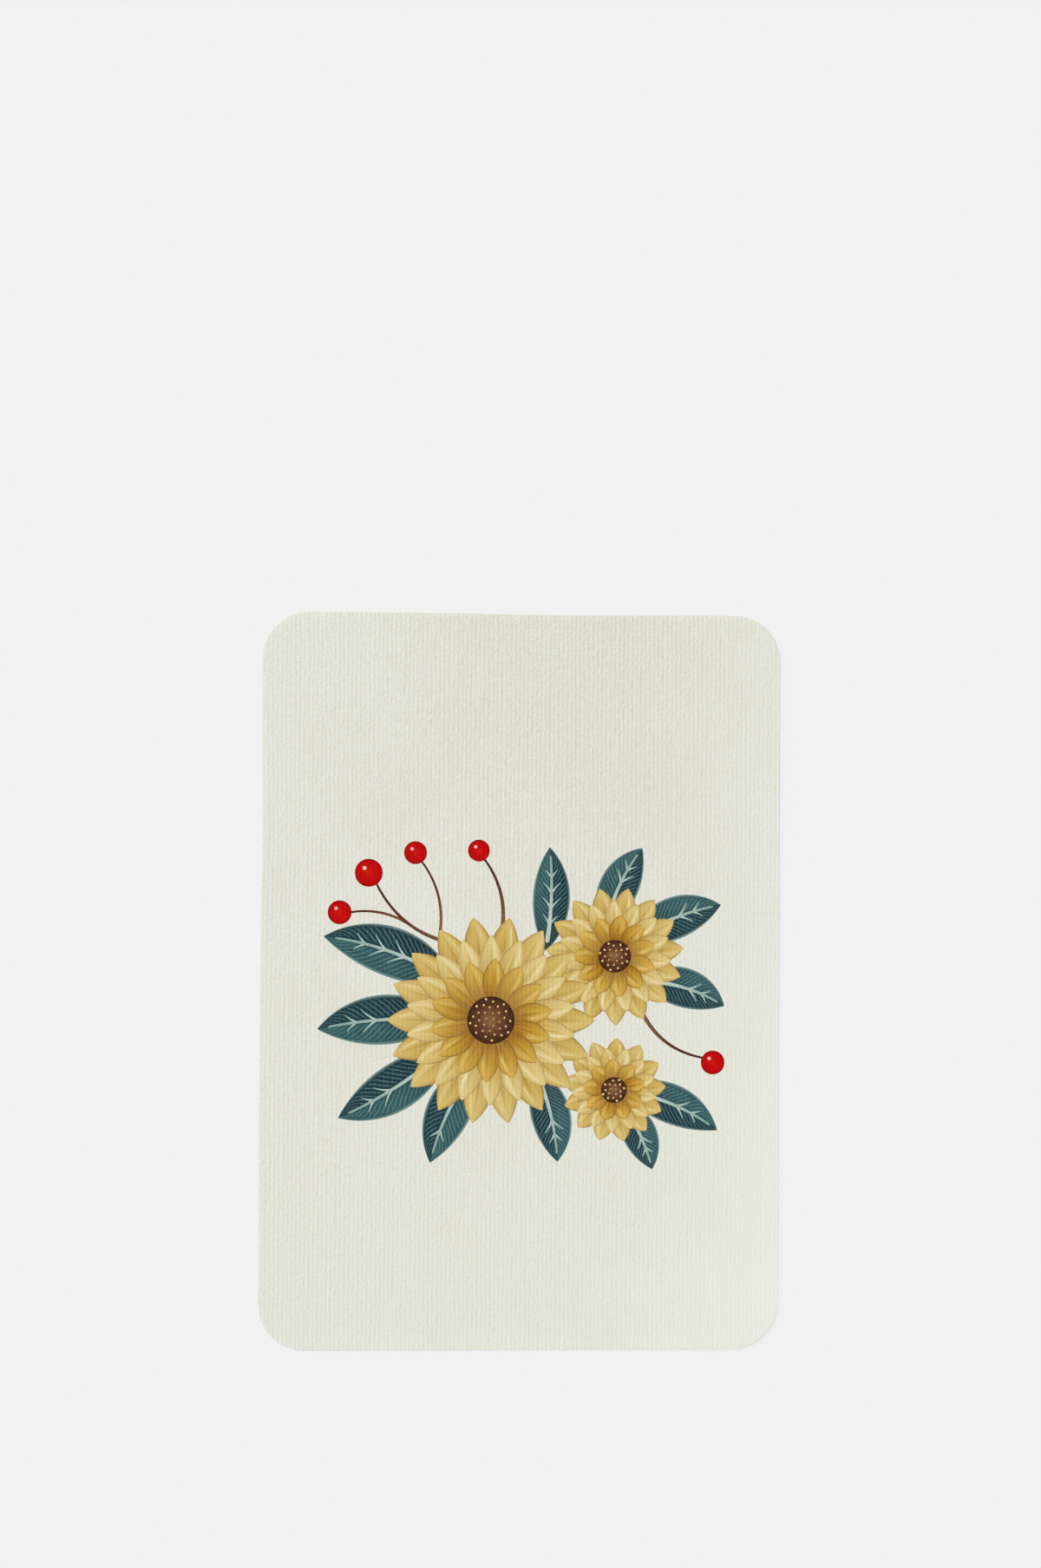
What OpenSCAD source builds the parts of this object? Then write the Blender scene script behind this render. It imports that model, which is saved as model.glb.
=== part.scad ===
// Fold-over notecard: one sheet of laid card creased down its left side, with
// rounded corners and a flower spray printed on the front leaf.
// The card lies closed on its back leaf. +X is to the right of the printed
// face, +Y to its top, +Z out of it. All lengths are millimetres.

/* [Card] */
// Width of the closed card, over the fold
card_w = 105; // [95:0.5:150]
// Height of the card
card_h = 148.5; // [130:0.5:210]
// Radius of the die-cut corners
corner_r = 9.5; // [5:0.5:14]
// Thickness of the card stock
leaf_t = 0.4; // [0.25:0.05:0.6]

/* [Fold] */
// Room between the two leaves when the card is closed
leaf_gap = 0.3; // [0.2:0.05:0.6]

/* [Print] */
// Thickness of the printed ink films
ink_t = 0.02; // [0.02:0.01:0.05]
// How far the print's middle sits below the card's middle
print_drop = 4; // [0:0.5:12]
// Size of the print, as a share of the full spray
print_scale = 1; // [0.7:0.05:1.1]
// Width of the pale midrib in each printed leaf, at its root
rib_w = 0.9; // [0.6:0.1:1.2]
// Width of a printed stem at its root
stem_w = 0.9; // [0.6:0.1:1.4]

/* [Hidden] */
$fn = 180;

// The closed card is leaf, gap, leaf. The sheet turns over in a half tube
// whose outside just reaches the card's left edge. The crease line runs down
// the outside of that tube, and parts it into a half on each leaf.
stack_t = 2 * leaf_t + leaf_gap;
bend_out = stack_t / 2;
bend_in = leaf_gap / 2;
fold_x = -card_w / 2 + bend_out;
front_z = leaf_t + leaf_gap;
crease_gap = 0.06;

paper = [0.87, 0.87, 0.82];

// Blooms: [x, y, outer radius, petals in a ring, eye radius, turn in degrees]
BLOOMS = [[-6, -4, 21, 18, 4.8, 0],
          [19, 9, 14, 15, 3.3, 7],
          [19, -18, 10.5, 13, 2.6, 4]];

// Printed leaves: [root x, root y, direction in degrees, length, width, lean],
// where lean bows the leaf to the left (+) or right (-) of the way it points
LEAVES = [[-13, 3, 160, 28.5, 10, -0.9],
          [-14, -4, 184, 27, 10, -0.5],
          [-14, -9, 213, 27, 9.5, 0.6],
          [-8, -12, 244, 23, 9, -0.7],
          [3, -14, 284, 19, 8, 0.6],
          [24, 4, -16, 18, 8, 0.8],
          [22, 12, 22, 20, 8.5, 0.6],
          [17, 14, 66, 18.5, 8, 0.7],
          [5, 10, 88, 21, 7.5, -0.5],
          [20, -18, -22, 21.5, 8, 0.9],
          [20, -20, -64, 15.5, 7, 0.6]];

// Side veins: share of the leaf's length at which each pair leaves the midrib
VEINS = [0.25, 0.4, 0.55, 0.7];

// Stems: [start, end, how far the middle bows to the left of the way along]
STEMS = [[[-9, 11], [-30, 25], 4],
         [[-21.5, 15], [-35.5, 17.4], -1.5],
         [[-16.5, 12.6], [-21, 29], -2],
         [[-4, 13], [-8.2, 29.4], -2],
         [[24, -1], [38, -11.6], -2.5]];

// Berries: [x, y, radius]
BERRIES = [[-30.8, 25.6, 2.8], [-36.6, 17.6, 2.4], [-21.4, 29.7, 2.3],
           [-8.6, 30.2, 2.2], [39, -12.4, 2.4]];

// A pointed oval along +X from the origin: two equal arcs
module pointed_oval(l, w) {
    r = (l * l + w * w) / (4 * w);
    translate([l / 2, 0])
        intersection() {
            translate([0, r - w / 2]) circle(r = r);
            translate([0, w / 2 - r]) circle(r = r);
        }
}

// The same with its two arcs of different depth, so that it bows to one side
module leaning_oval(l, left, right) {
    r_left = (l * l / 4 + left * left) / (2 * left);
    r_right = (l * l / 4 + right * right) / (2 * right);
    intersection() {
        translate([l / 2, left - r_left]) circle(r = r_left);
        translate([l / 2, r_right - right]) circle(r = r_right);
    }
}

// Ring of pointed petals from radius r0 to r1, on a disc that closes its middle
module rosette(r0, r1, count, turn) {
    w = 1.25 * PI * (r0 + r1) / count;
    circle(r = r0 + 0.55 * (r1 - r0));
    for (i = [0 : count - 1])
        rotate(turn + i * 360 / count)
            translate([r0, 0]) pointed_oval(r1 - r0, w);
}

// A tapering straight line along +X from the origin
module tapered(l, w) {
    polygon([[0, -w / 2], [l, -0.2 * w], [l, 0.2 * w], [0, w / 2]]);
}

// A stroke between two points that bows to one side and tapers to its end
function along(a, b, bow, u) =
    let (d = b - a, s = [-d[1], d[0]] / norm(d))
    a + d * u + s * bow * 4 * u * (1 - u);
function across(a, b, bow, u) =
    let (d = b - a, s = [-d[1], d[0]] / norm(d), t = d + s * bow * 4 * (1 - 2 * u))
    [-t[1], t[0]] / norm(t);
module stroke(a, b, bow, w) {
    n = 14;
    polygon(concat(
        [for (i = [0 : n]) let (u = i / n)
            along(a, b, bow, u) - across(a, b, bow, u) * w * (1 - 0.55 * u) / 2],
        [for (i = [n : -1 : 0]) let (u = i / n)
            along(a, b, bow, u) + across(a, b, bow, u) * w * (1 - 0.55 * u) / 2]));
}

module card_outline() {
    square([card_w - 2 * corner_r, card_h], center = true);
    square([card_w, card_h - 2 * corner_r], center = true);
    for (x = [-1, 1], y = [-1, 1])
        translate([x * (card_w / 2 - corner_r), y * (card_h / 2 - corner_r)])
            circle(r = corner_r);
}

// One leaf: the card's outline to the right of the bend
module leaf_outline() {
    intersection() {
        card_outline();
        translate([fold_x, -card_h]) square([2 * card_w, 2 * card_h]);
    }
}

// The three rings of petals of every bloom, from the widest to the closest
module outer_petals() {
    for (b = BLOOMS)
        translate([b[0], b[1]]) rosette(0.3 * b[2], b[2], b[3], b[5]);
}

module middle_petals() {
    for (b = BLOOMS)
        translate([b[0], b[1]])
            rosette(0.25 * b[2], 0.82 * b[2], b[3], b[5] + 180 / b[3]);
}

module inner_petals() {
    for (b = BLOOMS)
        translate([b[0], b[1]])
            rosette(0.16 * b[2], 0.6 * b[2], b[3] - 4, b[5] + 9);
}

module bloom_shapes() {
    outer_petals();
    middle_petals();
}

module eyes() {
    for (b = BLOOMS) translate([b[0], b[1]]) circle(r = b[4]);
}

// A leaf's midrib follows the curve half way between its two arcs
function lean_mm(l) = 0.2 * l[4] * l[5];
function rib_y(l, u) = 4 * lean_mm(l) * u * (1 - u);
function rib_turn(l, u) = atan(4 * lean_mm(l) * (1 - 2 * u) / l[3]);

// Side veins that start under a bloom are left out
function vein_shows(l, v) =
    let (a = v * l[3], b = rib_y(l, v),
         p = [l[0] + a * cos(l[2]) - b * sin(l[2]), l[1] + a * sin(l[2]) + b * cos(l[2])])
    min([for (f = BLOOMS) norm(p - [f[0], f[1]]) - f[2]]) > 0;

module leaf_shapes() {
    for (l = LEAVES)
        translate([l[0], l[1]]) rotate(l[2])
            leaning_oval(l[3], l[4] / 2 + lean_mm(l), l[4] / 2 - lean_mm(l));
}

module rib_shapes() {
    for (l = LEAVES)
        translate([l[0], l[1]]) rotate(l[2]) {
            stroke([0.08 * l[3], rib_y(l, 0.08)], [0.92 * l[3], rib_y(l, 0.92)],
                   0.7 * lean_mm(l), rib_w);
            for (v = VEINS, side = [-1, 1])
                if (vein_shows(l, v))
                    translate([v * l[3], rib_y(l, v)])
                        rotate(rib_turn(l, v) + side * 38)
                            tapered(0.42 * l[4] * sin(180 * (v + 0.06)), 0.5 * rib_w);
        }
}

module stem_shapes() {
    for (s = STEMS) stroke(s[0], s[1], s[2], stem_w);
}

module berry_shapes() {
    for (b = BERRIES) translate([b[0], b[1]]) circle(r = b[2]);
}

// Lays a flat shape on the front leaf as a thin film
module film() {
    translate([0, -print_drop, front_z + leaf_t])
        linear_extrude(height = ink_t)
            scale(print_scale) children();
}

module back_leaf() {
    color(paper) linear_extrude(height = leaf_t) leaf_outline();
}

// Half of the bend, trimmed at both ends by the rounded corners: the front
// leaf's (side 1) or the back leaf's (side -1)
module crease_half(side) {
    intersection() {
        translate([fold_x, 0, stack_t / 2])
            rotate([90, 0, 0])
                linear_extrude(height = card_h + 2, center = true)
                    difference() {
                        circle(r = bend_out);
                        circle(r = bend_in);
                        translate([0, -stack_t]) square(2 * stack_t);
                        translate([-stack_t, side > 0 ? crease_gap / 2 - 2 * stack_t : -crease_gap / 2])
                            square(2 * stack_t);
                    }
        translate([0, 0, -1])
            linear_extrude(height = stack_t + 2) card_outline();
    }
}

module back_crease() {
    color(paper) crease_half(-1);
}

module front_crease() {
    color(paper) crease_half(1);
}

module front_leaf() {
    color(paper)
        translate([0, 0, front_z]) linear_extrude(height = leaf_t) leaf_outline();
}

// The films lie side by side: each is cut back to the ones printed over it
module gold_ink() {
    color([0.80, 0.68, 0.39])
        film() difference() { outer_petals(); middle_petals(); }
}

module straw_ink() {
    color([0.87, 0.78, 0.51])
        film() difference() { middle_petals(); inner_petals(); }
}

module amber_ink() {
    color([0.73, 0.55, 0.20])
        film() difference() { inner_petals(); eyes(); }
}

module teal_ink() {
    color([0.14, 0.32, 0.39])
        film() difference() {
            leaf_shapes();
            rib_shapes();
            bloom_shapes();
        }
}

module sage_ink() {
    color([0.59, 0.71, 0.67])
        film() difference() {
            intersection() { rib_shapes(); leaf_shapes(); }
            bloom_shapes();
        }
}

module red_ink() {
    color([0.77, 0.07, 0.06]) film() berry_shapes();
}

module brown_ink() {
    color([0.43, 0.24, 0.16])
        film() {
            eyes();
            difference() { stem_shapes(); leaf_shapes(); bloom_shapes(); berry_shapes(); }
        }
}

back_leaf();
back_crease();
front_crease();
front_leaf();
gold_ink();
straw_ink();
amber_ink();
teal_ink();
sage_ink();
red_ink();
brown_ink();
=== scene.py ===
import math

import bpy
import numpy as np
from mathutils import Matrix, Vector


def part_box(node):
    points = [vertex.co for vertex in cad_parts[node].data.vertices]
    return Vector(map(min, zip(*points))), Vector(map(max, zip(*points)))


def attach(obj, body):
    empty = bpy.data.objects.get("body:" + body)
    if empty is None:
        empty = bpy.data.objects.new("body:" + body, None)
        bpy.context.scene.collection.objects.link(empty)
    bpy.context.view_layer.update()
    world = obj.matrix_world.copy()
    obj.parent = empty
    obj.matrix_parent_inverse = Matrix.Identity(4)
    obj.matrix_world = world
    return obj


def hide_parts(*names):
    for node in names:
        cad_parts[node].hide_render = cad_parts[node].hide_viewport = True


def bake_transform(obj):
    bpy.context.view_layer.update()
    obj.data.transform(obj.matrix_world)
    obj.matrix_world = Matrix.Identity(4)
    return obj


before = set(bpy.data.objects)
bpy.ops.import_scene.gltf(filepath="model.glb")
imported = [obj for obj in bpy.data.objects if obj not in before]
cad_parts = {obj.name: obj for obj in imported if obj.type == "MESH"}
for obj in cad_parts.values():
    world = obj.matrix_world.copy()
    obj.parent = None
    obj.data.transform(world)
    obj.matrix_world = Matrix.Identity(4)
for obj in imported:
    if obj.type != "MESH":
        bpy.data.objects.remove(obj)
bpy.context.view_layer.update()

MM = 0.001
UM = 0.000001

# ---------------------------------------------------------------- the card's measures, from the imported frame

front_lo, front_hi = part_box("front_leaf")
back_lo, back_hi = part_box("back_leaf")
FOLD_X = front_lo.x
HALF_W = front_hi.x
HALF_H = front_hi.y
T = front_hi.z - front_lo.z
STACK = front_hi.z - back_lo.z
BEND_OUT = STACK / 2
BEND_IN = BEND_OUT - T
BEND_Z = back_lo.z + STACK / 2
CORNER = 9.5 * MM
ARC_X = HALF_W - CORNER
ARC_Y = HALF_H - CORNER

# ---------------------------------------------------------------- smooth seeded noise


def quilt(seed, n=128):
    return np.random.default_rng(seed).uniform(-1, 1, (n, n))


def drift(x, y, size_x, size_y, seed):
    """Smooth noise from -1 to 1 with features of about size_x by size_y."""
    grid = quilt(seed)
    n = len(grid)
    fx, fy = np.asarray(x) / size_x + 500.5, np.asarray(y) / size_y + 500.5
    ix, iy = np.floor(fx).astype(int), np.floor(fy).astype(int)
    tx, ty = fx - ix, fy - iy
    tx, ty = tx * tx * (3 - 2 * tx), ty * ty * (3 - 2 * ty)
    a, b = grid[ix % n, iy % n], grid[(ix + 1) % n, iy % n]
    c, d = grid[ix % n, (iy + 1) % n], grid[(ix + 1) % n, (iy + 1) % n]
    return (a * (1 - tx) + b * tx) * (1 - ty) + (c * (1 - tx) + d * tx) * ty


def step(x, a, b):
    t = np.clip((np.asarray(x) - a) / (b - a), 0, 1)
    return t * t * (3 - 2 * t)


# ---------------------------------------------------------------- the sheet's surface

RIB_PITCH = 0.886 * MM
RIB_HIGH = 15 * UM
GRAIN_HIGH = 10 * UM
CLOUD_HIGH = 6 * UM


def laid(x, y, seed):
    """Laid lines and grain of one face of the sheet: (height in metres, rib crest from -1 to 1)."""
    q = (x / RIB_PITCH + 0.15 * drift(x, y, 5 * MM, 42 * MM, seed) + 0.07 * drift(x, y, 1.3 * MM, 12 * MM, seed + 1)
         + 0.14 * drift(x, y, 1.7 * MM, 2.3 * MM, seed + 7))
    strength = (0.82 + 0.24 * drift(x, y, 1.2 * MM, 9 * MM, seed + 2)
                + 0.42 * drift(x, y, 1.0 * MM, 2.6 * MM, seed + 3)
                + 0.10 * drift(x, y, 14 * MM, 14 * MM, seed + 4))
    rib = np.cos(2 * np.pi * q) * np.clip(strength, 0.1, 1.5)
    grain = drift(x, y, 0.62 * MM, 2.1 * MM, seed + 5)
    cloud = drift(x, y, 3.4 * MM, 4.2 * MM, seed + 6)
    fade = (0.83 + 0.205 * y / HALF_H) * (1.20 - 0.46 * step(x, 0.3 * HALF_W, HALF_W)) * (1 + 0.2 * x * y / (HALF_W * HALF_H))
    return fade * (RIB_HIGH * rib + GRAIN_HIGH * grain + CLOUD_HIGH * cloud), np.clip(0.75 * rib + 0.25 * grain, -1, 1)


def wander(x, y):
    """How far the creased side strays sideways, dying out away from the crease. It strays inwards only, because the
    strip would cross itself on opening if its outside lay past the hinge's axis."""
    along = (0.28 * np.exp(-(((y / MM) - 30) / 15) ** 2) * (1 - step(y / MM, 38, 52))
             + 0.08 * np.exp(-(((y / MM) + 56) / 14) ** 2) + 0.02 * drift(x * 0, y, 1, 5 * MM, 91))
    along = np.maximum(along, 0)
    return MM * along * (1 - step(x, FOLD_X, FOLD_X + 11 * MM))


def sag(x, y):
    """How far the upper edge's cut dips, dying out below it and towards the crease."""
    dip = -0.25 * np.exp(-(((x / MM) - 9) / 20) ** 2) * step(x, FOLD_X, FOLD_X + 20 * MM)
    return MM * dip * step(y, HALF_H - 18 * MM, HALF_H)


def curl(x, y):
    """How far the front leaf's free corner stands up, with a slight cockle."""
    reach = x / HALF_W + y / HALF_H
    lift = 0.20 * step(reach, 0.75, 2.0) ** 1.5
    cockle = 0.03 * drift(x, y, 38 * MM, 44 * MM, 77)
    return MM * (lift + cockle * step(x, FOLD_X, FOLD_X + 20 * MM))


def rim(x, inset=0.0):
    """Half height of the card's outline at x, drawn in by inset."""
    r = CORNER - inset
    over = np.clip(np.abs(np.asarray(x, float)) - ARC_X, 0, r)
    return ARC_Y + np.sqrt(np.maximum(r * r - over * over, 0))


# ---------------------------------------------------------------- mesh building


class Build:
    """Collects vertices, faces and per-vertex values for one piece."""

    def __init__(self):
        self.points, self.faces, self.values, self.count = [], [], {}, 0

    def add(self, points, **values):
        points = np.asarray(points, float).reshape(-1, 3)
        first = self.count
        self.points.append(points)
        for key in ("pu", "pv", "ps", "rib"):
            v = np.broadcast_to(np.asarray(values.get(key, 0.0), float).reshape(-1), (len(points),))
            self.values.setdefault(key, []).append(v)
        self.count += len(points)
        return np.arange(first, self.count)

    def quads(self, a, b, c, d):
        self.faces += np.stack([np.ravel(a), np.ravel(b), np.ravel(c), np.ravel(d)], 1).tolist()

    def made(self, name, material, sharp=50):
        mesh = bpy.data.meshes.new(name)
        mesh.from_pydata(np.concatenate(self.points).tolist(), [], self.faces)
        for key, parts in self.values.items():
            layer = mesh.attributes.new(key, "FLOAT", "POINT")
            layer.data.foreach_set("value", np.concatenate(parts).astype(np.float32))
        mesh.validate()
        mesh.polygons.foreach_set("use_smooth", [True] * len(mesh.polygons))
        mesh.set_sharp_from_angle(angle=math.radians(sharp))
        mesh.materials.append(material)
        mesh.update()
        piece = bpy.data.objects.new(name, mesh)
        bpy.context.scene.collection.objects.link(piece)
        return piece


def zip_loops(build, a, b, at, bt):
    """Faces between two closed rings of points that go round the same way, a outside b when seen from above."""
    i = j = 0
    n, m = len(a), len(b)
    at = list(at) + [1.0 + at[0]]
    bt = list(bt) + [1.0 + bt[0]]
    while i < n or j < m:
        if j >= m or (i < n and at[i + 1] <= bt[j + 1]):
            build.faces.append([int(a[i]), int(b[j % m]), int(a[(i + 1) % n])])
            i += 1
        else:
            build.faces.append([int(a[i % n]), int(b[j]), int(b[(j + 1) % m])])
            j += 1


EDGE = 0.09 * MM  # how far the softened edge reaches in from the outline
# The edge's profile from its upper to its lower face: how far out (mm) at which share of the sheet's thickness
ROUND = ((0.045, 0.03), (0.075, 0.10), (0.09, 0.24), (0.09, 0.76), (0.075, 0.90), (0.045, 0.97))


def columns():
    """Places of the sheet's grid lines across the card: even, and closer where the outline turns."""
    even = np.linspace(FOLD_X, HALF_W - EDGE, 476)
    turn = ARC_X + (CORNER - EDGE) * np.sin(np.radians([70, 75, 79, 82.5, 86]))
    keep = np.array([np.abs(turn - e).min() > 0.05 * MM or e in (even[0], even[-1]) for e in even])
    return np.unique(np.concatenate([even[keep], turn]))


COLUMNS = columns()


def face_grid(rows):
    x = np.repeat(COLUMNS[:, None], rows, 1)
    v = np.linspace(-1, 1, rows)[None, :]
    return x, v * rim(COLUMNS, EDGE)[:, None]


def ring_of(ids):
    """The rim of a grid of ids, anticlockwise from its lower left corner."""
    return np.concatenate([ids[:, 0], ids[-1, 1:], ids[-2::-1, -1], ids[0, -2:0:-1]])


def outward(x, y):
    """Outward direction of the outline at points of its rim, and none along the crease."""
    cx, cy = np.clip(x, -ARC_X, ARC_X), np.clip(y, -ARC_Y, ARC_Y)
    d = np.stack([x - cx, y - cy], 1)
    d /= np.maximum(np.linalg.norm(d, axis=1), 1e-12)[:, None]
    d[x < FOLD_X + 1e-9] = 0
    return d


def lengths(x, y):
    """Share of the way round a ring at each of its points."""
    s = np.hypot(np.diff(np.append(x, x[0])), np.diff(np.append(y, y[0])))
    return np.concatenate([[0], np.cumsum(s)[:-1]]) / s.sum()


def leaf(top_rows, under_rows, z_top, z_under, top_seed, under_seed, top_high, under_high, bow):
    """One leaf of the sheet: two laid faces and a softened die-cut edge. Returns its Build and its upper grid."""
    build = Build()
    x, y = face_grid(top_rows)
    h, rib = laid(x, y, top_seed)
    z = z_top + top_high * h + bow(x, y)
    shift = wander(x, y)
    top = build.add(np.stack([x + shift, y + sag(x, y), z], -1), rib=rib).reshape(x.shape)
    build.quads(top[:-1, :-1], top[1:, :-1], top[1:, 1:], top[:-1, 1:])

    ux, uy = face_grid(under_rows)
    uh, urib = laid(ux, uy, under_seed)
    uz = z_under - under_high * uh + bow(ux, uy)
    under = build.add(np.stack([ux + wander(ux, uy), uy + sag(ux, uy), uz], -1), rib=urib).reshape(ux.shape)
    build.quads(under[:-1, :-1], under[:-1, 1:], under[1:, 1:], under[1:, :-1])

    ring = ring_of(top)
    rx, ry, rz, rr = (ring_of(k) for k in (x, y, z, rib))
    away = outward(rx, ry)
    floor = z_under + bow(rx, ry)
    fuzz = 1 + 0.25 * drift(rx, ry, 0.7 * MM, 0.7 * MM, top_seed + 8)
    painted_edge_light = np.clip(0.5 + 0.8 * (away @ (0.75, -0.66)), -0.3, 1.0)  # painted light: the edges facing away from the light, on the right and below, are painted paler
    ends = (rx < FOLD_X + 1e-9) & (np.abs(ry) > rim(FOLD_X, EDGE) - 1e-7)
    last = ring
    for out, share in ROUND:
        reach = out * MM * (fuzz if out < 0.09 else np.ones_like(fuzz))
        p = np.stack([rx, ry], 1) + away * reach[:, None]
        p[ends, 1] = np.sign(ry[ends]) * rim(FOLD_X, EDGE - out * MM)
        px, py = p[:, 0], p[:, 1]
        pz = rz + (floor - rz) * share
        now = build.add(np.stack([px + wander(px, py), py + sag(px, py), pz], -1), ps=painted_edge_light, rib=rr)
        after, now_after = np.roll(last, -1), np.roll(now, -1)
        build.quads(last, now, now_after, after)
        last = now
    under_ring = ring_of(under)
    zip_loops(build, last, under_ring, lengths(rx, ry), lengths(ring_of(ux), ring_of(uy)))
    return build, (x, y, z, rib)


# ---------------------------------------------------------------- the fold's strip


CREASE = 0.20 * MM  # how thick the sheet is along the crease line, where it is crushed


def strip(rows=150):
    """The bend between the leaves: a half tube of the sheet, pressed thin along the crease line, with softened ends
    that follow the rounded corners."""
    build = Build()
    v = np.linspace(-1, 1, rows)
    quarter = np.concatenate([np.linspace(90, 170, 10), [174, 175.5, 177, 178.5]])
    angle = np.radians(np.concatenate([quarter, [180], 360 - quarter[::-1]]))
    a = np.repeat(angle[:, None], rows, 1)
    near_top = step(a, math.pi, math.pi / 2)
    skins = []
    for across, high, seed, way, scale in ((BEND_OUT, BEND_OUT, 11, 1, 1.0), (BEND_OUT - CREASE, BEND_IN, 31, -1, 0.6)):
        y = v[None, :] * rim(FOLD_X + across * np.cos(angle), EDGE)[:, None]
        front_h, front_rib = laid(FOLD_X - high * (a - math.pi / 2), y, seed)
        back_h, back_rib = laid(FOLD_X - high * (3 * math.pi / 2 - a), y, seed + 10)
        h = way * scale * (front_h * near_top + back_h * (1 - near_top))
        x, z = FOLD_X + (across + h) * np.cos(a), BEND_Z + (high + h) * np.sin(a)
        rib = front_rib * near_top + back_rib * (1 - near_top)
        painted_crease_shade = -1.8 * step(-np.cos(a), 0, 0.6) if way > 0 else 0.0  # painted shade: the crease's outside, which faces the light, is painted a little grey
        ids = build.add(np.stack([x + wander(x, y), y, z], -1), ps=painted_crease_shade, rib=rib).reshape(a.shape)
        skins.append((ids, x, z, rib))
    (outer, ox, oz, rib), (inner, ix, iz, _) = skins
    build.quads(outer[:-1, :-1], outer[:-1, 1:], outer[1:, 1:], outer[1:, :-1])
    build.quads(inner[:-1, :-1], inner[1:, :-1], inner[1:, 1:], inner[:-1, 1:])
    rings = {}
    for end, sign in ((0, -1), (-1, 1)):
        rows_of = [outer[:, end]]
        for out, share in ROUND:
            x, z = (p[:, end] + (q[:, end] - p[:, end]) * share for p, q in ((ox, ix), (oz, iz)))
            y = sign * rim(x, EDGE - out * MM)
            # painted light and shade: the strip's lower end, facing away from the light, is painted paler, and its
            # upper end a little darker
            rows_of.append(build.add(np.stack([x + wander(x, y), y, z], -1), ps=-0.3 if sign > 0 else 0.5, rib=rib[:, end]))
        rows_of.append(inner[:, end])
        for p, q in zip(rows_of[:-1], rows_of[1:]):
            if sign < 0:
                build.quads(p[:-1], p[1:], q[1:], q[:-1])
            else:
                build.quads(p[1:], p[:-1], q[:-1], q[1:])
        rings[end] = rows_of
    for k in (0, -1):  # the two faces that meet the leaves
        loop = (outer[k, :].tolist() + [int(r[k]) for r in rings[-1][1:-1]] + inner[k, ::-1].tolist()
                + [int(r[k]) for r in rings[0][-2:0:-1]])
        build.faces.append(loop[::-1] if k == 0 else loop)
    return build


# ---------------------------------------------------------------- materials


def tone(r, g, b):
    """A display colour, 0 to 255, as the linear colour that shaders take."""
    return tuple((c / 255 / 12.92 if c <= 10 else ((c / 255 + 0.055) / 1.055) ** 2.4) for c in (r, g, b)) + (1.0,)


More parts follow.
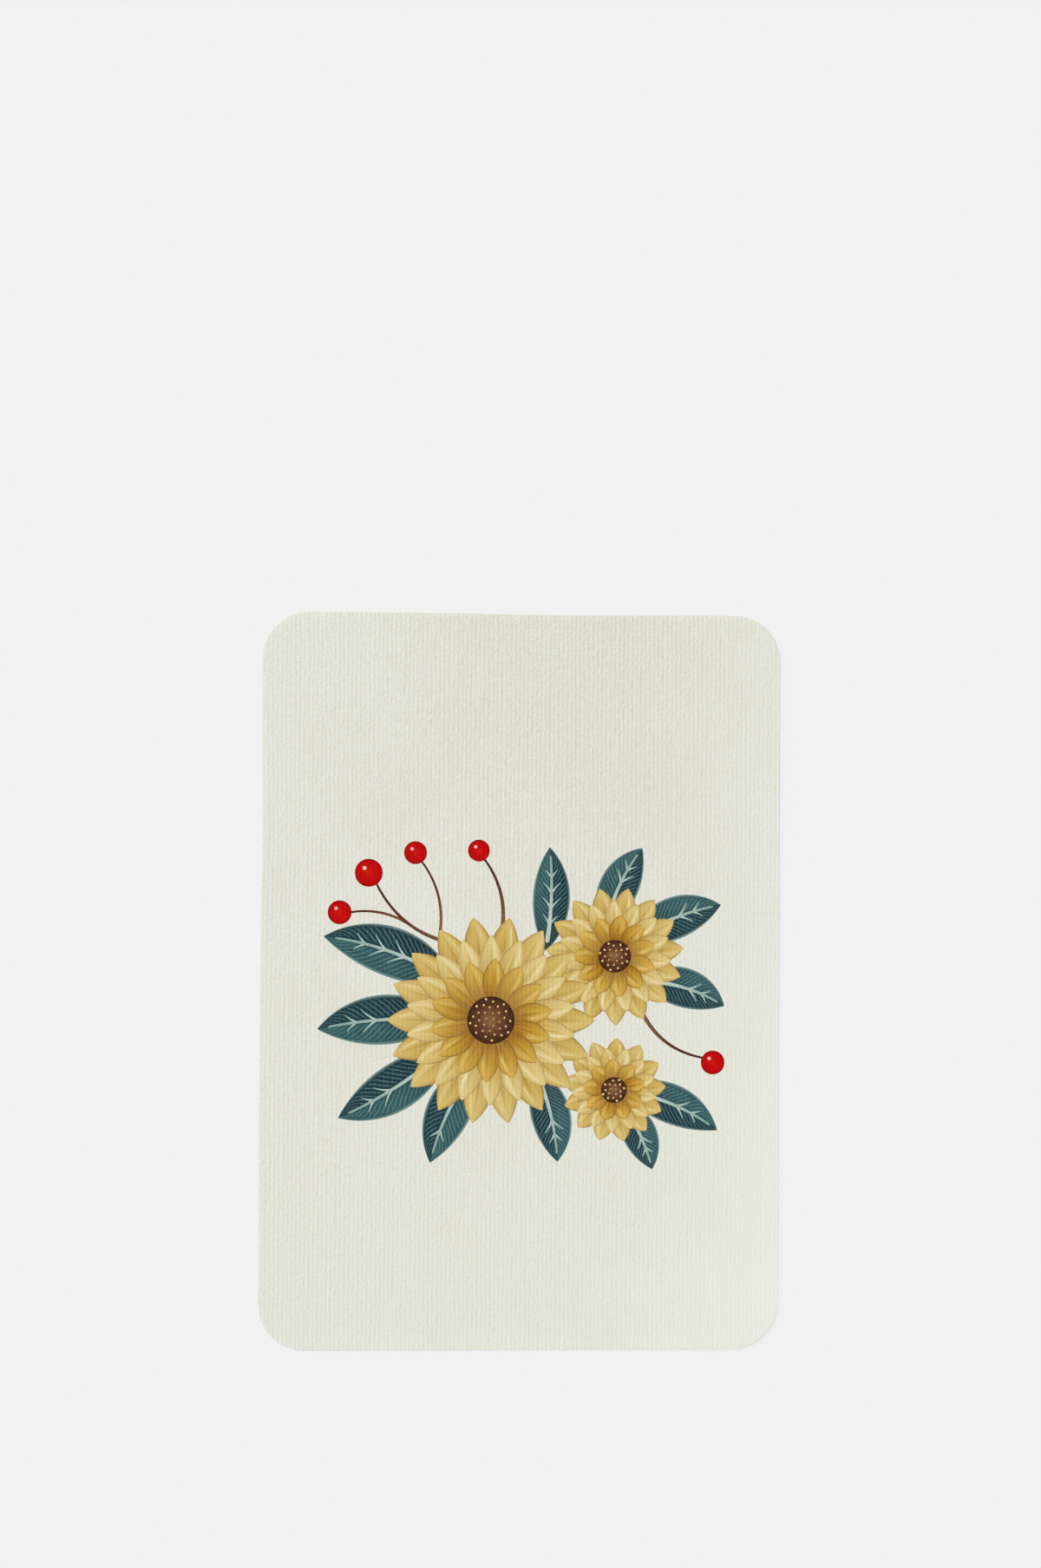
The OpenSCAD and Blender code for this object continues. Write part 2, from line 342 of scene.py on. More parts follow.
class Graph:
    """A material under construction."""

    def __init__(self, name):
        self.material = bpy.data.materials.new(name)
        self.material.use_nodes = True
        self.tree = self.material.node_tree
        self.tree.nodes.clear()
        self.shader = self.tree.nodes.new("ShaderNodeBsdfPrincipled")
        out = self.tree.nodes.new("ShaderNodeOutputMaterial")
        self.tree.links.new(self.shader.outputs["BSDF"], out.inputs["Surface"])
        self.coords = None

    def put(self, socket, value):
        if isinstance(value, bpy.types.NodeSocket):
            self.tree.links.new(value, socket)
        else:
            socket.default_value = value

    def math(self, operation, a, b=None, c=None, clamp=False):
        node = self.tree.nodes.new("ShaderNodeMath")
        node.operation, node.use_clamp = operation, clamp
        for socket, value in zip(node.inputs, (a, b, c)):
            if value is not None:
                self.put(socket, value)
        return node.outputs[0]

    def plus(self, *terms):
        total = terms[0]
        for term in terms[1:]:
            total = self.math("ADD", total, term)
        return total

    def times(self, *terms):
        total = terms[0]
        for term in terms[1:]:
            total = self.math("MULTIPLY", total, term)
        return total

    def less(self, value):
        return self.math("SUBTRACT", 1.0, value)

    def read(self, name):
        node = self.tree.nodes.new("ShaderNodeAttribute")
        node.attribute_name = name
        return node.outputs["Fac"]

    def place(self):
        if self.coords is None:
            self.coords = self.tree.nodes.new("ShaderNodeTexCoord").outputs["Object"]
        return self.coords

    def apart(self):
        node = self.tree.nodes.new("ShaderNodeSeparateXYZ")
        self.put(node.inputs[0], self.place())
        return node.outputs

    def vector(self, x, y, z):
        node = self.tree.nodes.new("ShaderNodeCombineXYZ")
        for socket, value in zip(node.inputs, (x, y, z)):
            self.put(socket, value)
        return node.outputs[0]

    def stretched(self, x, y, z):
        node = self.tree.nodes.new("ShaderNodeVectorMath")
        node.operation = "MULTIPLY"
        self.put(node.inputs[0], self.place())
        node.inputs[1].default_value = (x, y, z)
        return node.outputs[0]

    def noise(self, where, scale, detail=2.0, rough=0.5):
        node = self.tree.nodes.new("ShaderNodeTexNoise")
        self.put(node.inputs["Vector"], where)
        node.inputs["Scale"].default_value = scale
        node.inputs["Detail"].default_value = detail
        node.inputs["Roughness"].default_value = rough
        return node.outputs["Fac"]

    def cells(self, where, scale):
        node = self.tree.nodes.new("ShaderNodeTexVoronoi")
        self.put(node.inputs["Vector"], where)
        node.inputs["Scale"].default_value = scale
        return node.outputs["Distance"], node.outputs["Color"]

    def span(self, value, a, b, lo=0.0, hi=1.0, kind="SMOOTHSTEP"):
        node = self.tree.nodes.new("ShaderNodeMapRange")
        node.interpolation_type = kind
        self.put(node.inputs["Value"], value)
        for key, x in (("From Min", a), ("From Max", b), ("To Min", lo), ("To Max", hi)):
            node.inputs[key].default_value = x
        return node.outputs["Result"]

    def mix(self, share, a, b):
        node = self.tree.nodes.new("ShaderNodeMix")
        node.data_type = "RGBA"
        self.put(node.inputs[0], share)
        self.put(node.inputs[6], a)
        self.put(node.inputs[7], b)
        return node.outputs[2]

    def ramp(self, value, *stops):
        node = self.tree.nodes.new("ShaderNodeValToRGB")
        self.put(node.inputs[0], value)
        bar = node.color_ramp.elements
        while len(bar) < len(stops):
            bar.new(0.5)
        for element, (place, colour) in zip(bar, stops):
            element.position = place
            element.color = colour
        return node.outputs["Color"]

    def bump(self, height, deep, under=None):
        node = self.tree.nodes.new("ShaderNodeBump")
        node.inputs["Strength"].default_value = 1.0
        node.inputs["Distance"].default_value = deep
        self.put(node.inputs["Height"], height)
        if under is not None:
            self.put(node.inputs["Normal"], under)
        return node.outputs["Normal"]

    def fade(self):
        """How lively the sheet's surface is from place to place."""
        x, y, _ = self.apart()
        return self.times(self.plus(0.83, self.times(y, 0.205 / HALF_H)), self.span(x, 0.3 * HALF_W, HALF_W, 1.20, 0.74),
                          self.plus(1.0, self.times(x, y, 0.2 / (HALF_W * HALF_H))))

    def tooth(self):
        """The paper's own grain, which shows through the print too."""
        broken = self.span(self.noise(self.stretched(1.0, 0.80, 1.0), 1000, 2.0, 0.5), 0.36, 0.64)
        grain = self.noise(self.stretched(0.9, 1.1, 1.0), 2000, 2.0, 0.55)
        fibre = self.noise(self.stretched(1.0, 0.45, 1.0), 480, 2.0, 0.5)
        ribs = self.times(self.read("rib"), broken, 0.42)
        return self.bump(self.times(self.plus(ribs, self.times(grain, 1.7), self.times(fibre, 0.5)), self.fade()), 60 * UM)

    def done(self, colour, rough, normal, gloss=0.03):
        self.put(self.shader.inputs["Base Color"], colour)
        self.put(self.shader.inputs["Roughness"], rough)
        self.put(self.shader.inputs["Normal"], normal)
        self.shader.inputs["Specular IOR Level"].default_value = gloss
        return self.material


def laid_paper(name):
    g = Graph(name)
    x, y, z = g.apart()
    rib = g.read("rib")
    cloud = g.noise(g.place(), 42, 3.0, 0.55)
    felt = g.noise(g.place(), 760, 4.0, 0.62)
    dash = g.noise(g.stretched(2300, 1700, 1700), 1.0, 2.0, 0.5)
    # painted light and shade: smooth gradients across the sheet as the light falls on it, paler near its lower edge and
    # towards its upper left, and the painted light and shade of its edges and crease (ps)
    painted_light_tone = g.plus(g.times(x, -0.825), g.times(y, -1.203), g.times(x, x, 17.5), g.times(x, y, -16.85), g.times(y, y, 3.75),
                    g.times(x, x, x, 887.0), g.times(x, x, x, x, 9214.0), g.times(g.read("ps"), 0.22),
                    g.span(y, 4.5 * MM - HALF_H, 0.5 * MM - HALF_H, 0.0, 0.06),
                    g.span(g.plus(g.times(y, 1 / HALF_H), g.times(x, -1 / HALF_W)), 1.25, 1.95, 0.0, 0.09))
    # painted light and shade on the laid ribs: crests a little paler, hollows darker (rib)
    lively = g.plus(g.times(g.math("SUBTRACT", felt, 0.5), 0.38), g.times(g.math("SUBTRACT", dash, 0.5), 0.46), g.times(rib, 0.075))
    level = g.plus(0.485, g.times(g.math("SUBTRACT", cloud, 0.5), 0.30), g.times(lively, g.fade()), painted_light_tone)
    colour = g.ramp(level, (0.0, tone(209, 208.4, 193.8)), (0.5, tone(225, 225.2, 212.7)), (1.0, tone(239, 239.0, 232.0)))
    far, pick = g.cells(g.place(), 105)
    speck = g.times(g.less(g.span(far, 0.010, 0.024)), g.span(pick, 0.62, 0.66))
    colour = g.mix(g.times(speck, 0.34), colour, tone(150, 128, 100))
    rough = g.span(felt, 0.2, 0.8, 0.84, 0.95, "LINEAR")
    return g.done(colour, rough, g.tooth(), 0.2)


def petal_ink(name, dark, root, mid, tip, pale):
    """A flower's ink: shaded along and across each petal, with fine strokes from root to tip."""
    g = Graph(name)
    u, v, s, rib = g.read("pu"), g.read("pv"), g.read("ps"), g.read("rib")
    side = g.math("ABSOLUTE", v)
    broad = g.noise(g.vector(g.plus(g.times(v, 2.6), g.times(s, 37.0)), g.times(u, 0.9), g.times(s, 19.0)), 1.7, 2.0, 0.5)
    fine = g.noise(g.vector(g.plus(g.times(v, 9.5), g.times(s, 61.0)), g.times(u, 1.5), g.times(s, 7.0)), 1.5, 3.0, 0.6)
    along = g.plus(u, g.times(g.math("SUBTRACT", broad, 0.5), 0.5), g.times(g.math("SUBTRACT", fine, 0.5), 0.28))
    colour = g.ramp(along, (0.0, dark), (0.28, root), (0.58, mid), (0.95, tip))
    crease = g.times(g.less(g.span(side, 0.0, 0.13)), g.less(g.span(u, 0.50, 0.92)))
    colour = g.mix(g.times(crease, 0.42), colour, dark)
    rise = g.times(g.less(g.span(g.math("ABSOLUTE", g.plus(v, 0.40)), 0.04, 0.30)), g.span(u, 0.34, 0.58),
                   g.less(g.span(u, 0.78, 0.98)), g.span(fine, 0.34, 0.62))
    colour = g.mix(g.times(rise, 0.70), colour, pale)
    edge = g.span(g.plus(side, g.times(g.math("SUBTRACT", broad, 0.5), 0.12)), 0.76, 0.98)
    colour = g.mix(g.times(edge, 0.62), colour, dark)
    shade = g.span(v, 0.25, 0.95)
    colour = g.mix(g.times(shade, 0.26), colour, dark)
    colour = g.mix(g.span(s, 0.0, 1.0, 0.0, 0.16, "LINEAR"), colour, pale)
    stipple = g.span(g.noise(g.place(), 4300, 2.0, 0.6), 0.50, 0.66)
    colour = g.mix(g.times(stipple, 0.13), colour, pale)
    colour = g.mix(g.times(g.span(rib, -0.1, 1.0), 0.12), colour, pale)
    rough = g.span(fine, 0.2, 0.8, 0.70, 0.86, "LINEAR")
    return g.done(colour, rough, g.tooth())


def leaf_ink(name, deep, base, lit, pale):
    """A printed leaf: one half lit, slanting strokes beside the midrib, a paler rim."""
    g = Graph(name)
    u, v, s, rib = g.read("pu"), g.read("pv"), g.read("ps"), g.read("rib")
    side = g.math("ABSOLUTE", v)
    blot = g.noise(g.vector(g.times(u, 3.0), g.plus(g.times(v, 1.2), g.times(s, 23.0)), g.times(s, 41.0)), 2.2, 3.0, 0.55)
    half = g.span(g.plus(v, g.times(g.math("SUBTRACT", blot, 0.5), 0.5)), -0.12, 0.25)
    colour = g.mix(half, base, lit)
    colour = g.mix(g.times(g.less(g.span(u, 0.15, 0.60)), 0.55), colour, deep)
    colour = g.mix(g.times(g.span(blot, 0.45, 0.75), 0.35), colour, deep)
    turn = g.math("FRACT", g.plus(g.times(u, 21.0), g.times(side, -4.2), g.times(blot, 0.5)))
    line = g.span(g.math("ABSOLUTE", g.math("SUBTRACT", turn, 0.5)), 0.30, 0.48)
    line = g.times(line, g.span(side, 0.05, 0.25), g.less(g.span(side, 0.70, 0.95)))
    colour = g.mix(g.times(line, 0.34), colour, pale)
    colour = g.mix(g.times(g.span(side, 0.86, 0.97), 0.50), colour, pale)
    stipple = g.span(g.noise(g.place(), 4300, 2.0, 0.6), 0.52, 0.68)
    colour = g.mix(g.times(stipple, 0.10), colour, pale)
    colour = g.mix(g.times(g.span(rib, 0.0, 1.0), 0.08), colour, pale)
    rough = g.span(blot, 0.2, 0.8, 0.68, 0.84, "LINEAR")
    return g.done(colour, rough, g.tooth())


def vein_ink(name, base, pale):
    g = Graph(name)
    u, v, rib = g.read("pu"), g.read("pv"), g.read("rib")
    speckle = g.noise(g.place(), 2400, 3.0, 0.6)
    colour = g.mix(g.span(g.plus(u, g.times(g.math("SUBTRACT", speckle, 0.5), 0.9)), 0.1, 1.0), pale, base)
    colour = g.mix(g.times(g.span(g.math("ABSOLUTE", v), 0.4, 1.0), 0.35), colour, base)
    colour = g.mix(g.times(g.span(rib, 0.0, 1.0), 0.10), colour, pale)
    return g.done(colour, g.span(speckle, 0.2, 0.8, 0.72, 0.88, "LINEAR"), g.tooth())


def berry_ink(name, deep, base, lit, pale):
    """A round fruit: darker to its rim, with a glow and a small bright spot."""
    g = Graph(name)
    u, v, s, rib = g.read("pu"), g.read("pv"), g.read("ps"), g.read("rib")
    far = g.math("SQRT", g.plus(g.times(u, u), g.times(v, v)))
    blot = g.noise(g.vector(u, v, g.times(s, 50.0)), 2.6, 3.0, 0.55)
    colour = g.ramp(g.plus(far, g.times(g.math("SUBTRACT", blot, 0.5), 0.22)), (0.0, lit), (0.45, base), (0.80, base), (1.0, deep))
    du, dv = g.plus(u, 0.30), g.plus(v, -0.34)
    spot = g.math("SQRT", g.plus(g.times(du, du), g.times(dv, dv)))
    colour = g.mix(g.times(g.less(g.span(spot, 0.10, 0.62)), 0.36), colour, lit)
    colour = g.mix(g.times(g.less(g.span(spot, 0.09, 0.17)), 0.92), colour, pale)
    eu, ev = g.plus(u, -0.36), g.plus(v, 0.44)
    back = g.math("SQRT", g.plus(g.times(eu, eu), g.times(ev, ev)))
    colour = g.mix(g.times(g.less(g.span(back, 0.05, 0.30)), 0.30), colour, lit)
    stipple = g.span(g.noise(g.place(), 4600, 2.0, 0.6), 0.52, 0.68)
    colour = g.mix(g.times(stipple, 0.30), colour, lit)
    colour = g.mix(g.times(g.span(rib, 0.0, 1.0), 0.30), colour, lit)
    return g.done(colour, g.span(blot, 0.2, 0.8, 0.60, 0.78, "LINEAR"), g.tooth(), 0.05)


def stem_ink(name, deep, base, lit):
    g = Graph(name)
    u, v, s, rib = g.read("pu"), g.read("pv"), g.read("ps"), g.read("rib")
    speckle = g.noise(g.place(), 2100, 3.0, 0.62)
    colour = g.ramp(g.plus(u, g.times(g.math("SUBTRACT", speckle, 0.5), 0.9)), (0.05, lit), (0.55, base), (1.0, deep))
    colour = g.mix(g.times(g.span(v, 0.1, 0.9), 0.55), colour, deep)
    colour = g.mix(g.times(g.less(g.span(v, -0.9, -0.2)), 0.30), colour, lit)
    colour = g.mix(g.times(g.span(rib, 0.0, 1.0), 0.10), colour, lit)
    return g.done(colour, g.span(speckle, 0.2, 0.8, 0.70, 0.88, "LINEAR"), g.tooth())


PAPER = laid_paper("laid_card_cream")
GOLD = petal_ink("ink_gold", tone(142, 94, 18), tone(178, 132, 40), tone(198, 165, 80), tone(211, 183, 104), tone(236, 221, 164))
STRAW = petal_ink("ink_straw", tone(152, 106, 26), tone(188, 148, 54), tone(207, 177, 95), tone(221, 197, 126), tone(243, 232, 188))
AMBER = petal_ink("ink_amber", tone(118, 72, 14), tone(160, 109, 20), tone(189, 144, 40), tone(207, 167, 74), tone(230, 205, 130))
TEAL = leaf_ink("ink_teal", tone(12, 36, 46), tone(22, 57, 68), tone(50, 90, 95), tone(148, 174, 166))
SAGE = vein_ink("ink_sage", tone(136, 166, 158), tone(192, 207, 195))
RED = berry_ink("ink_red", tone(138, 2, 4), tone(188, 4, 5), tone(206, 26, 20), tone(250, 226, 214))
BROWN = stem_ink("ink_brown", tone(62, 34, 24), tone(98, 60, 42), tone(142, 100, 70))

# ---------------------------------------------------------------- the sheet's three pieces

front_build, (GX, GY, GZ, GR) = leaf(130, 62, front_hi.z, front_lo.z, 11, 31, 1.0, 0.6, curl)
front_sheet = front_build.made("front_sheet", PAPER)
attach(front_sheet, "front")
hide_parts("front_leaf")

back_build, _ = leaf(130, 62, back_hi.z, back_lo.z + 0.02 * MM, 41, 21, 0.6, 1.0, lambda x, y: np.zeros_like(x))
back_sheet = back_build.made("back_sheet", PAPER)
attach(back_sheet, "back")
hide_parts("back_leaf")

fold = strip().made("fold_strip", PAPER)
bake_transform(fold)
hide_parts("front_crease", "back_crease")

# ---------------------------------------------------------------- the print

DROP = 4.0 * MM
BLOOMS = [(-6, -4, 21, 18, 4.8, 0), (19, 9, 14, 15, 3.3, 7), (19, -18, 10.5, 13, 2.6, 4)]
LEAVES = [(-13, 3, 160, 28.5, 10, -0.9), (-14, -4, 184, 27, 10, -0.5), (-14, -9, 213, 27, 9.5, 0.6),
          (-8, -12, 244, 23, 9, -0.7), (3, -14, 284, 19, 8, 0.6), (24, 4, -16, 18, 8, 0.8),
          (22, 12, 22, 20, 8.5, 0.6), (17, 14, 66, 18.5, 8, 0.7), (5, 10, 88, 21, 7.5, -0.5),
          (20, -18, -22, 21.5, 8, 0.9), (20, -20, -64, 15.5, 7, 0.6)]
VEINS = (0.25, 0.4, 0.55, 0.7)
STEMS = [((-9, 11), (-30, 25), 4), ((-22.3, 15.1), (-35.5, 17.4), -1.4), ((-16.5, 12.6), (-21, 29), -2),
         ((-4, 13), (-8.2, 29.4), -2), ((24, -1), (38, -11.6), -2.5)]
BERRIES = [(-30.8, 25.6, 2.8), (-36.6, 17.6, 2.4), (-21.4, 29.7, 2.3), (-8.6, 30.2, 2.2), (39, -12.4, 2.4)]
RIB_W, STEM_W = 0.9, 0.9

ROWS_Y = GY[len(GY) // 2]
FINE_X = np.sort(np.concatenate([COLUMNS, (COLUMNS[1:] + COLUMNS[:-1]) / 2]))
SINK = 25 * UM


def on_sheet(x, y):
    """Height and rib crest of the front leaf's upper face, on its own grid."""
    x, y = np.asarray(x, float), np.asarray(y, float)
    i = np.clip(np.searchsorted(COLUMNS, x, side="right") - 1, 0, len(COLUMNS) - 2)
    j = np.clip(np.searchsorted(ROWS_Y, y, side="right") - 1, 0, len(ROWS_Y) - 2)
    a = (x - COLUMNS[i]) / (COLUMNS[i + 1] - COLUMNS[i])
    b = (y - ROWS_Y[j]) / (ROWS_Y[j + 1] - ROWS_Y[j])

    def read(grid):
        return ((grid[i, j] * (1 - a) + grid[i + 1, j] * a) * (1 - b)
                + (grid[i, j + 1] * (1 - a) + grid[i + 1, j + 1] * a) * b)

    return read(GZ), read(GR)


def film(build, x, y, lift, u, v, s, faces, ring):
    """Lays a flat patch on the sheet as a thin closed film. faces and ring index the patch's own points."""
    z, rib = on_sheet(x, y)
    top = build.add(np.stack([x, y, z + lift], -1), pu=u, pv=v, ps=s, rib=rib)
    build.faces += [[int(top[k]) for k in f] for f in faces]
    ring = np.asarray(ring)
    low = build.add(np.stack([x[ring], y[ring], z[ring] - SINK], -1), pu=np.broadcast_to(u, x.shape)[ring],
                    pv=np.broadcast_to(v, x.shape)[ring], ps=s, rib=rib[ring])
    high = top[ring]
    build.quads(high, low, np.roll(low, -1), np.roll(high, -1))
    build.faces.append([int(k) for k in low[::-1]])


def woven(span, ends):
    """Meshes a convex shape on the sheet's own grid lines, so that films lie on it evenly. span(x) gives its lowest and
    highest y at x, and ends its leftmost and rightmost point. Returns x, y, faces and rim."""
    (x0, y0), (x1, y1) = ends
    inner = FINE_X[(FINE_X > x0 + 0.01 * MM) & (FINE_X < x1 - 0.01 * MM)]
    xs, ys, lists, count = [x0], [y0], [[0]], 1
    for c in inner:
        lo, hi = span(c)
        if hi - lo < 2 * UM:
            continue
        between = ROWS_Y[(ROWS_Y > lo + 0.02 * MM) & (ROWS_Y < hi - 0.02 * MM)]
        col = np.concatenate([[lo], between, [hi]])
        xs += [c] * len(col)
        ys += col.tolist()
        lists.append(list(range(count, count + len(col))))
        count += len(col)
    xs.append(x1)
    ys.append(y1)
    lists.append([count])
    faces = []
    for left, right in zip(lists[:-1], lists[1:]):
        i = j = 0
        while i < len(left) - 1 or j < len(right) - 1:
            if j >= len(right) - 1 or (i < len(left) - 1 and ys[left[i + 1]] <= ys[right[j + 1]]):
                faces.append((left[i], right[j], left[i + 1]))
                i += 1
            else:
                faces.append((left[i], right[j], right[j + 1]))
                j += 1
    low, high = [c[0] for c in lists], [c[-1] for c in lists]
    return np.array(xs), np.array(ys), faces, low + high[-2:0:-1]


def discs_span(discs):
    """The part of a vertical line inside all of some discs, and the leftmost and rightmost points of that shape."""

    def span(c):
        lo, hi = -1e9, 1e9
        for x, y, r in discs:
            h = math.sqrt(max(r * r - (c - x) ** 2, 0))
            lo, hi = max(lo, y - h), min(hi, y + h)
        return lo, hi

    return span


def lens_film(build, root, turn, length, left, right, lift, s, tilt=0.0):
    """A pointed shape from root along turn (degrees), reaching left and right of its own line. Metres."""
    c, d = math.cos(math.radians(turn)), math.sin(math.radians(turn))
    r_left = (length ** 2 / 4 + left ** 2) / (2 * left)
    r_right = (length ** 2 / 4 + right ** 2) / (2 * right)

    def put(a, b):
        return root[0] + a * c - b * d, root[1] + a * d + b * c

    discs = [(*put(length / 2, left - r_left), r_left), (*put(length / 2, r_right - right), r_right)]
    rims = []
    for k in np.linspace(0, 1, 121):
        a = k * length
        rims.append(put(a, math.sqrt(max(r_left ** 2 - (a - length / 2) ** 2, 0)) - (r_left - left)))
        rims.append(put(a, (r_right - right) - math.sqrt(max(r_right ** 2 - (a - length / 2) ** 2, 0))))
    rims.sort()
    x, y, faces, ring = woven(discs_span(discs), (rims[0], rims[-1]))
    a = (x - root[0]) * c + (y - root[1]) * d
    b = -(x - root[0]) * d + (y - root[1]) * c
    up = np.sqrt(np.maximum(r_left ** 2 - (a - length / 2) ** 2, 0)) - (r_left - left)
    down = np.sqrt(np.maximum(r_right ** 2 - (a - length / 2) ** 2, 0)) - (r_right - right)
    middle, half = (up - down) / 2, np.maximum((up + down) / 2, 4 * UM)
    v = np.clip((b - middle) / half, -1, 1)
    film(build, x, y, lift + tilt * v, np.clip(a / length, 0, 1), v, s, faces, ring)


def disc_film(build, x0, y0, r, lift, s, flat=False, u=None):
    x, y, faces, ring = woven(discs_span([(x0, y0, r)]), ((x0 - r, y0), (x0 + r, y0)))
    px, py = (x - x0) / r, (y - y0) / r
    if flat:
        film(build, x, y, lift, np.hypot(px, py) if u is None else np.full(x.shape, u), np.zeros_like(x), s, faces, ring)
    else:
        film(build, x, y, lift, px, py, s, faces, ring)


def dot_film(build, x0, y0, r, lift, u, v, s, n=14, squeeze=1.0, turn=0.0):
    """A small dot: a middle point, a ring half way and a rim."""
    t = np.linspace(0, 2 * np.pi, n, endpoint=False)
    ex, ey = np.cos(t) * r, np.sin(t) * r * squeeze
    c, d = math.cos(turn), math.sin(turn)
    ox, oy = ex * c - ey * d, ex * d + ey * c
    x = np.concatenate([[x0], x0 + 0.5 * ox, x0 + ox])
    y = np.concatenate([[y0], y0 + 0.5 * oy, y0 + oy])
    faces = []
    for k in range(n):
        m = (k + 1) % n
        faces.append((0, 1 + k, 1 + m))
        faces.append((1 + k, 1 + n + k, 1 + n + m, 1 + m))
    film(build, x, y, lift, u, v, s, faces, list(range(1 + n, 1 + 2 * n)))


def ribbon_film(build, middle, across, half, lift, s, lanes=7):
    """A stroke along middle (n points), half as wide as half to each side."""
    n = len(middle)
    v = np.linspace(-1, 1, lanes)
    x = middle[:, 0][:, None] + across[:, 0][:, None] * half[:, None] * v
    y = middle[:, 1][:, None] + across[:, 1][:, None] * half[:, None] * v
    for end, way in ((0, -1), (-1, 1)):  # a rounded tip
        tip = way * half[end] * np.sqrt(1 - v * v)
        x[end] += tip * across[end, 1]
        y[end] -= tip * across[end, 0]
    ids = np.arange(n * lanes).reshape(n, lanes)
    faces = np.stack([ids[:-1, :-1].ravel(), ids[1:, :-1].ravel(), ids[1:, 1:].ravel(), ids[:-1, 1:].ravel()], 1).tolist()
    u = np.repeat(np.linspace(0, 1, n)[:, None], lanes, 1)
    film(build, x.ravel(), y.ravel(), lift, u.ravel(), np.repeat(v[None, :], n, 0).ravel(), s, faces, ring_of(ids))


def stroke(build, a, b, bow, width, lift, s, taper=0.55, blunt=True):
    """A stroke between two points in millimetres that bows to its left and tapers to its end."""
    a, b = np.array(a, float), np.array(b, float)
    d = b - a
    long = np.linalg.norm(d)
    side = np.array([-d[1], d[0]]) / long
    n = max(6, int(long / 0.22))
    u = np.linspace(0, 1, n)
    p = a + d * u[:, None] + side * (bow * 4 * u * (1 - u))[:, None]
    t = d + side * (bow * 4 * (1 - 2 * u))[:, None]
    t /= np.linalg.norm(t, axis=1)[:, None]
    half = width * (1 - taper * u) / 2
    near = np.minimum(u, 1 - u) * long / (0.5 * width)
    half = half * np.sqrt(np.clip(1 - (1 - np.clip(near, 0, 1)) ** 2, 0.03, 1)) if blunt else half
    ribbon_film(build, p * MM, np.stack([-t[:, 1], t[:, 0]], 1), half * MM, lift, s)


print_rng = np.random.default_rng(2031)
inks = {name: Build() for name in ("gold", "straw", "amber", "teal", "sage", "red", "brown")}


def at(x, y):
    return x * MM, y * MM - DROP


def in_place(p):
    return p[0], p[1] - DROP / MM


for k, (a, b, bow) in enumerate(STEMS):  # the first lies over the two slimmer ones that branch from it
    stroke(inks["brown"], in_place(a), in_place(b), bow, STEM_W * (0.7 if k in (1, 2) else 1.0), (21 if k == 0 else 11) * UM,
           print_rng.uniform(), 0.4 if k in (1, 2) else 0.55)

for k, (x, y, turn, length, width, lean) in enumerate(LEAVES):
    shift = 0.2 * width * lean
    seed = print_rng.uniform()
    lens_film(inks["teal"], at(x, y), turn, length * MM, (width / 2 + shift) * MM, (width / 2 - shift) * MM,
              (15 + 0.8 * k) * UM, seed)
    c, d = math.cos(math.radians(turn)), math.sin(math.radians(turn))

    def on_leaf(a, b):
        return x + a * c - b * d, y - DROP / MM + a * d + b * c

    def rib_y(u):
        return 4 * shift * u * (1 - u)

    stroke(inks["sage"], on_leaf(0.08 * length, rib_y(0.08)), on_leaf(0.92 * length, rib_y(0.92)), 0.7 * shift, RIB_W,
           40 * UM, seed)
    for vein in VEINS:
        p = (vein * length, rib_y(vein))
        start = (p[0] * c - p[1] * d + x, p[0] * d + p[1] * c + y)
        if min(math.dist(start, bloom[:2]) - bloom[2] for bloom in BLOOMS) <= 0:
            continue  # it would start under a bloom
        for way in (-1, 1):
            tilt = math.atan(4 * shift * (1 - 2 * vein) / length) + way * math.radians(38)
            reach = 0.42 * width * math.sin(math.pi * (vein + 0.06))
            q = (p[0] + reach * math.cos(tilt), p[1] + reach * math.sin(tilt))
            stroke(inks["sage"], on_leaf(*p), on_leaf(*q), -way * 0.06 * reach, 0.5 * RIB_W, (31.7 + 0.4 * way) * UM,
                   seed, 0.6)

for x, y, r in BERRIES:
    disc_film(inks["red"], *at(x, y), r * MM, 34 * UM, print_rng.uniform())

# The two smaller blooms lie under the main one. Each ring's petals overlap their neighbours the same way round.
for n, (x, y, big, count, eye, turn) in sorted(enumerate(BLOOMS), key=lambda item: item[1][2]):
    base = 50 + (30 if n == 0 else 0)
    rings = (("gold", 0.30, 1.00, count, turn), ("straw", 0.25, 0.82, count, turn + 180 / count),
             ("amber", 0.16, 0.60, count - 4, turn + 9))
    for level, (ink, near, far, petals, first) in enumerate(rings):
        r0, r1 = near * big, far * big
        width = 1.25 * math.pi * (r0 + r1) / petals
        lift = (base + 8 * level) * UM
        disc_film(inks[ink], *at(x, y), (r0 + 0.55 * (r1 - r0)) * MM, lift, 0.2, True, 0.12)
        for k in range(petals):
            way = first + k * 360 / petals
            root = at(x + r0 * math.cos(math.radians(way)), y + r0 * math.sin(math.radians(way)))
            lens_film(inks[ink], root, way, (r1 - r0) * MM, width / 2 * MM, width / 2 * MM, lift + 4 * UM,
                      print_rng.uniform(), 2 * UM)
    disc_film(inks["brown"], *at(x, y), eye * MM, (base + 24) * UM, 0.5, True)
    for k in range(int(7 * eye)):
        far, way = 0.92 * eye * math.sqrt((k + 0.6) / (7 * eye)), 2.39996 * k + 0.4
        dot_film(inks["straw"], *at(x + far * math.cos(way), y + far * math.sin(way)), (0.15 + 0.10 * far / eye) * MM,
                 (base + 36) * UM, 0.45 + 0.5 * far / eye, 0.0, print_rng.uniform(), 12)

for ink, material in (("gold", GOLD), ("straw", STRAW), ("amber", AMBER), ("teal", TEAL), ("sage", SAGE), ("red", RED),
                      ("brown", BROWN)):
    piece = inks[ink].made(f"{ink}_print", material)
    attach(piece, "front")
    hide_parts(f"{ink}_ink")

# ---------------------------------------------------------------- floor, light and camera

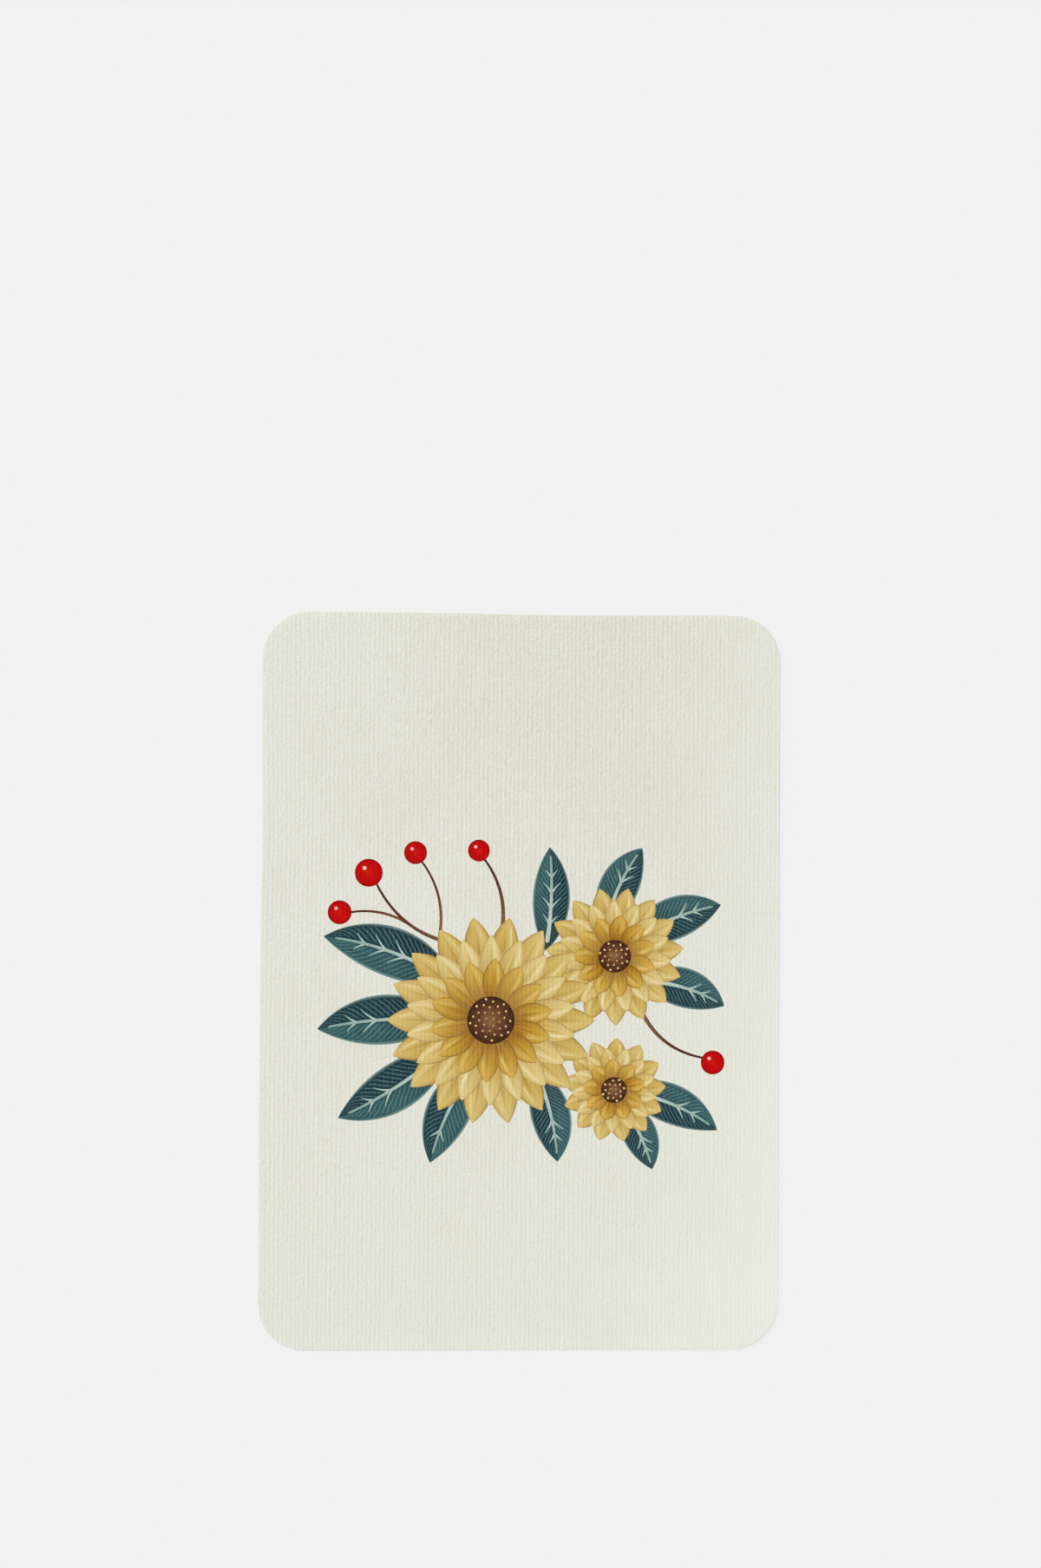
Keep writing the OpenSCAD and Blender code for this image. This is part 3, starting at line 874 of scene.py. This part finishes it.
floor_graph = Graph("pale_floor")
floor_graph.shader.inputs["Base Color"].default_value = (0.05, 0.05, 0.05, 1.0)
floor_graph.shader.inputs["Emission Color"].default_value = (1.0, 1.0, 1.0, 1.0)
floor_graph.shader.inputs["Emission Strength"].default_value = 0.8296
floor_graph.shader.inputs["Roughness"].default_value = 1.0
floor_graph.shader.inputs["Specular IOR Level"].default_value = 0.0
floor_mesh = bpy.data.meshes.new("floor")
floor_mesh.from_pydata([(-2, -2, -0.03 * MM), (2, -2, -0.03 * MM), (2, 2, -0.03 * MM), (-2, 2, -0.03 * MM)], [], [(0, 1, 2, 3)])
floor_mesh.materials.append(floor_graph.material)
floor_piece = bpy.data.objects.new("floor", floor_mesh)
bpy.context.scene.collection.objects.link(floor_piece)

# A pale wall round the floor, which neither lights nor shades anything
wall_graph = Graph("pale_wall")
wall_graph.shader.inputs["Base Color"].default_value = (0.0, 0.0, 0.0, 1.0)
wall_graph.shader.inputs["Emission Color"].default_value = (1.0, 1.0, 1.0, 1.0)
wall_graph.shader.inputs["Emission Strength"].default_value = 0.8796
wall_graph.shader.inputs["Roughness"].default_value = 1.0
wall_graph.shader.inputs["Specular IOR Level"].default_value = 0.0
wall_mesh = bpy.data.meshes.new("wall")
wall_points, wall_faces = [], []
for i in range(13):
    up = math.radians(90 * i / 12)
    for j in range(48):
        round_ = 2 * math.pi * j / 48
        wall_points.append((1.98 * math.cos(up) * math.cos(round_), 1.98 * math.cos(up) * math.sin(round_), 1.98 * math.sin(up) - 0.03 * MM))
for i in range(12):
    for j in range(48):
        k = (j + 1) % 48
        wall_faces.append((48 * i + k, 48 * i + j, 48 * i + 48 + j, 48 * i + 48 + k))
wall_mesh.from_pydata(wall_points, [], wall_faces)
wall_mesh.materials.append(wall_graph.material)
wall_piece = bpy.data.objects.new("wall", wall_mesh)
bpy.context.scene.collection.objects.link(wall_piece)
wall_piece.visible_diffuse = wall_piece.visible_glossy = wall_piece.visible_transmission = False
wall_piece.visible_shadow = False

scene = bpy.context.scene
scene.view_settings.view_transform = "Standard"
scene.view_settings.look = "None"

AMBIENT = 0.40
world = bpy.data.worlds.new("soft_room")
world.use_nodes = True
world.node_tree.nodes["Background"].inputs["Color"].default_value = (1.0, 1.0, 1.0, 1.0)
world.node_tree.nodes["Background"].inputs["Strength"].default_value = AMBIENT
scene.world = world

SUN_UP, SUN_ROUND = math.radians(50), math.radians(152)  # height, and the side it comes from, anticlockwise from +X
sun = bpy.data.lights.new("window", "SUN")
sun.angle = math.radians(30)
sun.energy = (0.9995 - AMBIENT) * math.pi / math.sin(SUN_UP)
sun_piece = bpy.data.objects.new("window", sun)
sun_piece.rotation_euler = (math.pi / 2 - SUN_UP, 0, SUN_ROUND + math.pi / 2)
scene.collection.objects.link(sun_piece)

camera = bpy.data.cameras.new("camera")
camera.sensor_fit = "HORIZONTAL"
camera.sensor_width = 36.0
camera.lens = 36.0 * 3422.7 / 1200
camera.clip_start, camera.clip_end = 0.01, 20
camera_piece = bpy.data.objects.new("camera", camera)
camera_piece.location = (-0.03143, 0.02284, 0.60076)
camera_piece.rotation_euler = tuple(math.radians(a) for a in (1.592, -2.984, 0.331))
scene.collection.objects.link(camera_piece)
scene.camera = camera_piece
